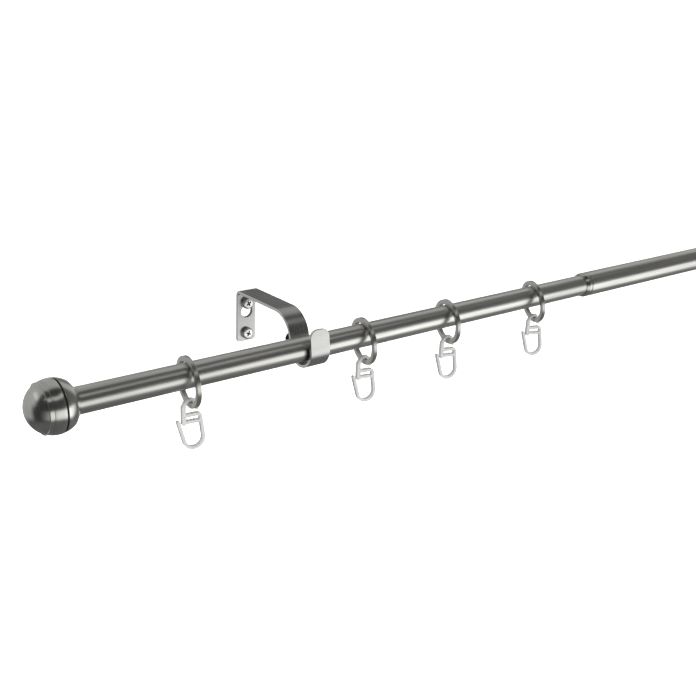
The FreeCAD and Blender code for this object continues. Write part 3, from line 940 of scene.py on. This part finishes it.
# %% Fixing screws
for side in ("left", "right"):
    node = "fixing_screw_" + side
    low, high = box_mm(node)
    under = high.y - FIXING_HEAD_HEIGHT
    mesh = screw_mesh(node, fixing_head_mesh, 0.0, under - low.y, FIXING_PITCH,
                      FIXING_CREST, FIXING_ROOT, 0.0)
    place = shift_mm((low.x + high.x) / 2, under, (low.z + high.z) / 2)
    face_wall = Matrix.Rotation(QUARTER, 4, "Z") @ Matrix.Rotation(FIXING_TURN, 4, "X")
    # The fixing screw's recess takes the darker black rubber finish: painted shade in the recess.
    place_piece(mesh, node, place @ face_wall, (rubber_and_recess_shade_finish,))
print("fixing screws bear on the tubes", round(under - low.y, 1), "mm from the head")

# %% [markdown]
# ## The rings
#
# Each ring hangs a little turned and a little leaned over, as rings do. The frame doesn't state those
# angles, but the CAD piece's own points do: the direction in which they spread the least is the
# ring's axis. A singular value decomposition finds it.

# %% Where a ring hangs
RING_THICK = 3.0
RING_RADIAL = 3.4
RING_ROOM = 3.3
RING_ROUND = 0.45


def ring_matrix(node):
    """Matrix that carries a ring made about X to where the CAD ring hangs."""
    points = np.array([tuple(vert.co) for vert in frame["nodes"][node].data.vertices])
    low, high = points.min(axis=0), points.max(axis=0)
    spread = np.linalg.svd(points - points.mean(axis=0), full_matrices=False)[2]
    axis = Vector(spread[2])
    if axis.x < 0:
        axis = -axis
    turn = axis.to_track_quat("X", "Z").to_matrix().to_4x4()
    return Matrix.Translation(Vector((low + high) / 2)) @ turn


ring_nodes = sorted(node for node in body_of if node.startswith("ring_"))
print(len(ring_nodes), "rings")

# %% Make the rings
ring_outer = thick_radius + RING_ROOM + RING_RADIAL
ring_bore = ring_outer - RING_RADIAL
half = RING_THICK / 2
ring_corners = [(-half, ring_bore), (-half, ring_outer), (half, ring_outer), (half, ring_bore)]
ring_mesh = lathe("ring", eased(ring_corners, RING_ROUND), TUBE_SIDES)
for node in ring_nodes:
    place_piece(ring_mesh, node, ring_matrix(node))
print("rings are", round(2 * ring_outer, 2), "mm across")

# %% [markdown]
# ## The pleat hooks
#
# A hook is one small injection moulding: an open loop that snaps over the ring, a short stem, two
# bars with little teeth, and a long claw that goes into the heading tape. Moulded plastic has no
# sharp inside corners, and a voxel remesh gives exactly that: the strokes are laid over each other as
# simple solids, the remesh melts them into one skin, and a light smoothing rounds its edges.

# %% Hook sizes
HOOK_THICK = 3.0
EYE_PLAY, EYE_GAP, EYE_STROKE = 1.0, 0.35, 2.0
EYE_OPENING = math.radians(-24.0)
STEM_STROKE, STEM_FOOT = 2.6, -11.7
CLAW_STROKE, CLAW_RADIUS = 2.1, 6.3
CLAW_CENTRE = (1.9, -22.4)
CLAW_TIP = (-8.1, -10.5)
CLAW_SHOULDER = (6.4, -8.8)
SHOULDER_RADIUS = 2.0
BAR_STROKE, LOWER_BAR = 1.9, -11.3
TOOTH_RADIUS = 0.5
TOOTH_PLACES = (-1.6, 0.6, 2.8)
eye_radius = math.hypot(RING_THICK, RING_RADIAL) / 2 + EYE_PLAY
eye_height = RING_RADIAL / 2 + EYE_GAP - eye_radius
print("the hook's loop has a bore of", round(2 * eye_radius, 2), "mm")


# %% Centre lines of the hook's strokes
def touch_angle(point, side):
    """Angle on the claw's bow where a straight line from the point touches it."""
    du, dv = point[0] - CLAW_CENTRE[0], point[1] - CLAW_CENTRE[1]
    return math.atan2(dv, du) + side * math.acos(CLAW_RADIUS / math.hypot(du, dv))


def hook_strokes():
    loop_radius = eye_radius + EYE_STROKE / 2
    stem = -loop_radius + (EYE_STROKE - STEM_STROKE) / 2
    first = touch_angle(CLAW_TIP, 1)
    last = touch_angle(CLAW_SHOULDER, -1) + 2 * math.pi
    shoulder = (CLAW_SHOULDER[0] - SHOULDER_RADIUS, CLAW_SHOULDER[1])
    top = CLAW_SHOULDER[1] + SHOULDER_RADIUS
    claw = [CLAW_TIP] + arc_points(CLAW_CENTRE, CLAW_RADIUS, first, last - first, 28)
    claw += arc_points(shoulder, SHOULDER_RADIUS, 0, QUARTER, 6) + [(stem, top)]
    return [
        (arc_points((0, eye_height), loop_radius, EYE_OPENING, math.pi - EYE_OPENING, 24), EYE_STROKE),
        (claw, CLAW_STROKE),
        ([(stem, eye_height), (stem, STEM_FOOT)], STEM_STROKE),
        ([(stem, LOWER_BAR), (CLAW_SHOULDER[0], LOWER_BAR)], BAR_STROKE),
    ], [(u, LOWER_BAR + BAR_STROKE / 2) for u in TOOTH_PLACES]


strokes, teeth = hook_strokes()
print("the hook is", len(strokes), "strokes and", len(teeth), "teeth")


# %% Lay the strokes over each other
def add_slab(build, corners):
    """Solid with these (x, z) corners, as thick as a hook."""
    half = HOOK_THICK / 2
    skin_rows(build, [[build.verts.new((x, y, z)) for x, z in corners] for y in (-half, half)])


def bar_corners(start, end, width):
    start, end = Vector(start), Vector(end)
    along = (end - start).normalized()
    across = Vector((-along.y, along.x)) * (width / 2)
    return [start - across, end - across, end + across, start + across]


def rough_hook():
    build = bmesh.new()
    for points, width in strokes:
        for point in points:
            add_slab(build, circle_points(point, width / 2, steps=20))
        for start, end in zip(points, points[1:]):
            add_slab(build, bar_corners(start, end, width))
    for tooth in teeth:
        add_slab(build, circle_points(tooth, TOOTH_RADIUS, steps=20))
    return mesh_of(build, "rough_hook")


print("strokes laid")


# %% Melt them into one moulding
VOXEL = 0.24
SOFTEN_ROUNDS = 4


def moulded(mesh, voxel, rounds):
    """One closed skin over overlapping solids, with softened edges."""
    holder = bpy.data.objects.new("moulding", mesh)
    bpy.context.scene.collection.objects.link(holder)
    melt = holder.modifiers.new("melt", "REMESH")
    melt.mode = "VOXEL"
    melt.voxel_size = voxel
    soften = holder.modifiers.new("soften", "SMOOTH")
    soften.factor = 0.5
    soften.iterations = rounds
    bpy.context.view_layer.update()
    result = bpy.data.meshes.new_from_object(holder.evaluated_get(bpy.context.evaluated_depsgraph_get()))
    bpy.data.objects.remove(holder)
    return result


hook_mesh = moulded(rough_hook(), VOXEL, SOFTEN_ROUNDS)
hook_mesh.transform(Matrix.Translation((0, 0, -eye_height)))
print("the moulded hook has", len(hook_mesh.polygons), "faces")

# %% [markdown]
# Every hook swings about the middle of its own loop, and the joint that does it already knows where
# that is and how the ring is turned. So the hook's place comes from its joint.

# %% Hang the hooks
for number in range(1, len(ring_nodes) + 1):
    node = "hook_%02d" % number
    joint = joints[node + "_swing"]
    axis = Vector(joint["axis"])
    turn = math.atan2(-axis.x, axis.y)
    place = Matrix.Translation(Vector(joint["pos_m"])) @ Matrix.Rotation(turn, 4, "Z")
    place_piece(hook_mesh, node, place)
print("hooks hang on", len(ring_nodes), "rings")

# %% [markdown]
# ## What stays from the CAD
#
# The studs, plugs and the guide are inside the rod, and their CAD shapes are right. They keep their
# meshes and only get a proper finish.

# %% Finish the hidden pieces
hidden = [node for node in body_of if node.startswith(("finial_stud", "tube_plug", "inner_tube_guide"))]
for node in hidden:
    mesh = frame["nodes"][node].data
    mesh.materials.clear()
    mesh.materials.append(finish_of_slot[slot_of[node]])
print("hidden pieces:", ", ".join(sorted(hidden)))

# %% [markdown]
# ## Studio
#
# Polished metal shows the room more than itself. The room here is pale and plain, but what the metal
# sees is a calm studio: a broad soft panel low in front, a grey ceiling behind with one dark beam, two
# narrow light strips high up, and dark cloth above the camera and on the floor. Lamps could draw the
# same picture. It is drawn in the world instead, by direction, because that gives soft edges and
# adds no noise. The beam is what the top of a bracket's arm mirrors, and it keeps the arm dark.

# %% World that the metal mirrors
DARK_ROOM = 0.05
PANEL_LEFT, PANEL_RIGHT, PANEL_END = 1.15, 0.65, 0.60
CEILING_GLOW, BACK_GLOW, SIDE_GLOW, BELOW_GLOW = 0.44, 0.42, 0.10, 0.10
STRIP_GLOW, REAR_STRIP_GLOW = 0.55, 0.35
BEAM_SHADE = 0.70

world = bpy.data.worlds.new("studio")
bpy.context.scene.world = world
world.use_nodes = True
sky = NodeSheet(world.node_tree)
parts = sky.add("ShaderNodeSeparateXYZ", inputs={"Vector": sky.add("ShaderNodeTexCoord", output=0)})
east = Link(sky, parts.socket.node.outputs["X"])
inward = Link(sky, parts.socket.node.outputs["Y"])
height = Link(sky, parts.socket.node.outputs["Z"])
front = 0.0 - inward
panel_height = sky.between(height, -0.68, -0.42) * sky.between(height, -0.07, 0.14, 1.0, 0.0)
panel_east = sky.between(east, -1.05, 0.20) * PANEL_LEFT + sky.between(east, 0.40, 0.60) * PANEL_RIGHT
panel_east = panel_east - sky.between(east, 0.69, 0.80) * PANEL_END
panel = panel_height * sky.between(front, 0.20, 0.55) * panel_east
upper = sky.between(height, 0.02, 0.30)
ceiling = upper * sky.between(inward, -0.08, 0.26)
back_low = (1 - upper) * sky.between(height, -0.68, -0.42) * sky.between(inward, 0.05, 0.45)
below = sky.between(height, -0.80, -0.50, 1.0, 0.0)
strip_height = sky.between(height, 0.66, 0.73) * sky.between(height, 0.81, 0.88, 1.0, 0.0)
strip = strip_height * sky.between(front, 0.20, 0.35) * sky.between(east, 0.48, 0.66, 1.0, 0.0)
rear_height = sky.between(height, 0.46, 0.54) * sky.between(height, 0.64, 0.72, 1.0, 0.0)
rear_strip = rear_height * sky.between(inward, 0.02, 0.20) * sky.between(east, -0.60, -0.42, 1.0, 0.0)
side = sky.between(east, 0.25, 0.85)
glow = DARK_ROOM + panel + ceiling * CEILING_GLOW + back_low * BACK_GLOW
glow = glow + side * SIDE_GLOW + below * BELOW_GLOW + strip * STRIP_GLOW + rear_strip * REAR_STRIP_GLOW
beam_height = sky.between(height, 0.10, 0.22) * sky.between(height, 0.44, 0.58, 1.0, 0.0)
dark_beam = beam_height * sky.between(inward, 0.45, 0.62) * sky.between(east, 0.28, 0.46)
glow = glow * (1 - dark_beam * BEAM_SHADE)
background = world.node_tree.nodes["Background"]
sky.plug(background.inputs["Strength"], glow)
background.inputs["Color"].default_value = (1.0, 0.995, 0.985, 1.0)
print("world has", len(world.node_tree.nodes), "nodes")

# %% [markdown]
# The floor is a wide bowl of pale paper that curves up into the background, so no horizon shows. A
# paper wall stands at the back of the wall plates and hides the screws' shanks, as a real wall would.
# A real wall would also hide the rod from behind, so this one shows its front only. Both glow a
# little, so that they stay an even pale tone, and both are stage pieces: the metal doesn't mirror
# them, and they cast no shadow on the rod.


# %% Paper for the stage
PAPER_GLOW = 0.95


def paper(name):
    """Finish of a plain pale sheet that gives off a little light of its own."""
    sheet = Finish(name, Metallic=0.0, Emission_Strength=PAPER_GLOW)
    fibre = sheet.grain((30.0, 30.0, 30.0), detail=2.0)
    tone = sheet.blend(fibre, (0.97, 0.97, 0.965, 1.0), (1.0, 1.0, 1.0, 1.0))
    sheet.set("Base Color", tone)
    sheet.set("Emission Color", tone)
    sheet.set("Roughness", 0.9 + fibre * 0.05)
    return sheet


def stage_piece(name, mesh, finish):
    """Make a sheet of the stage that only the camera sees."""
    mesh.materials.append(finish.material)
    mesh.shade_smooth()
    sheet = bpy.data.objects.new(name, mesh)
    bpy.context.scene.collection.objects.link(sheet)
    sheet.visible_glossy = False
    sheet.visible_diffuse = False
    sheet.visible_shadow = False


print("paper glows at", PAPER_GLOW)

# %% Floor that curves up into the background
FLOOR_DOWN = 0.62
FLOOR_REACH = 9.0
RIM_CURVE = 4.0
RIM_RISE = 9.0
profile = [(0.0, 0.0), (FLOOR_REACH - RIM_CURVE, 0.0)]
for step in range(1, 13):
    angle = QUARTER * step / 12
    reach = FLOOR_REACH - RIM_CURVE + RIM_CURVE * math.sin(angle)
    profile.append((reach, RIM_CURVE * (1 - math.cos(angle))))
profile.append((FLOOR_REACH, RIM_RISE))
bowl = lathe("floor", [(rise, reach) for reach, rise in profile], 96, closed=False)
bowl.transform(Matrix.Translation((0.0, 0.0, -FLOOR_DOWN)) @ Matrix.Rotation(-QUARTER, 4, "Y"))
stage_piece("floor", bowl, paper("floor_paper"))
print("floor is", FLOOR_DOWN, "m under the rod")


# %% Wall that only has a front
WALL_BACK = 0.0005
WALL_LEFT, WALL_RIGHT, WALL_TOP = -4.0, 5.0, 2.5


def one_sided(sheet):
    """Let a finish show on the front of a sheet only, so that the rod can be looked at from behind."""
    behind = sheet.add("ShaderNodeNewGeometry", output=6)
    clear = sheet.add("ShaderNodeBsdfTransparent")
    shader = Link(sheet, sheet.shader.outputs[0])
    mixed = sheet.add("ShaderNodeMixShader", inputs={0: behind, 1: shader, 2: clear})
    sheet.plug(sheet.tree.nodes["Material Output"].inputs["Surface"], mixed)
    return sheet


build = bmesh.new()
corners = [(WALL_LEFT, -FLOOR_DOWN), (WALL_RIGHT, -FLOOR_DOWN),
           (WALL_RIGHT, WALL_TOP), (WALL_LEFT, WALL_TOP)]
build.faces.new([build.verts.new((x, WALL_BACK, z)) for x, z in corners])
bmesh.ops.subdivide_edges(build, edges=build.edges[:], cuts=3, use_grid_fill=True)
plaster = bpy.data.meshes.new("wall")
build.to_mesh(plaster)
build.free()
stage_piece("wall", plaster, one_sided(paper("wall_paper")))
print("the wall faces", [round(v, 1) for v in plaster.polygons[0].normal])

# %% [markdown]
# The lamps are large, so their shadows are soft. They light the paper and the plastic only, because
# the metal already has the world to mirror.


# %% Lamps
def lamp(name, place, aim, width, power):
    data = bpy.data.lights.new(name, "AREA")
    data.shape = "SQUARE"
    data.size = width
    data.energy = power
    light = bpy.data.objects.new(name, data)
    bpy.context.scene.collection.objects.link(light)
    light.location = place
    light.rotation_mode = "QUATERNION"
    light.rotation_quaternion = (Vector(aim) - Vector(place)).to_track_quat("-Z", "Y")
    light.visible_glossy = False


middle = (cad_low + cad_high) / 2
lamp("overhead", (middle.x, -1.2, 3.2), middle, 4.5, 20.0)
lamp("front", (-1.2, -3.2, 0.5), (0.0, 0.0, 0.0), 2.4, 80.0)
print("two lamps")

# %% [markdown]
# ## Camera
#
# The rod is seen from its left end, from a little above and slightly tilted. The camera is placed by
# its distance from the middle of the left bracket, and its aim is two angles and a roll.

# %% Camera
CAMERA_PLACE = Vector((-0.3829, -0.5826, 0.2341))
CAMERA_TURN = math.radians(-39.3)
CAMERA_DOWN = math.radians(20.2)
CAMERA_ROLL = math.radians(2.49)
CAMERA_LENS = 54.3

camera_data = bpy.data.cameras.new("camera")
camera_data.lens = CAMERA_LENS
camera_data.sensor_width = 36.0
camera_data.clip_start = 0.02
camera_data.clip_end = 60.0
camera = bpy.data.objects.new("camera", camera_data)
bpy.context.scene.collection.objects.link(camera)
aim = Matrix.Rotation(CAMERA_TURN, 4, "Z") @ Matrix.Rotation(QUARTER - CAMERA_DOWN, 4, "X")
camera.matrix_world = Matrix.Translation(CAMERA_PLACE) @ aim @ Matrix.Rotation(CAMERA_ROLL, 4, "Z")
bpy.context.scene.camera = camera
bpy.context.scene.view_settings.view_transform = "Standard"
print("camera looks along", [round(v, 3) for v in -camera.matrix_world.col[2].xyz])
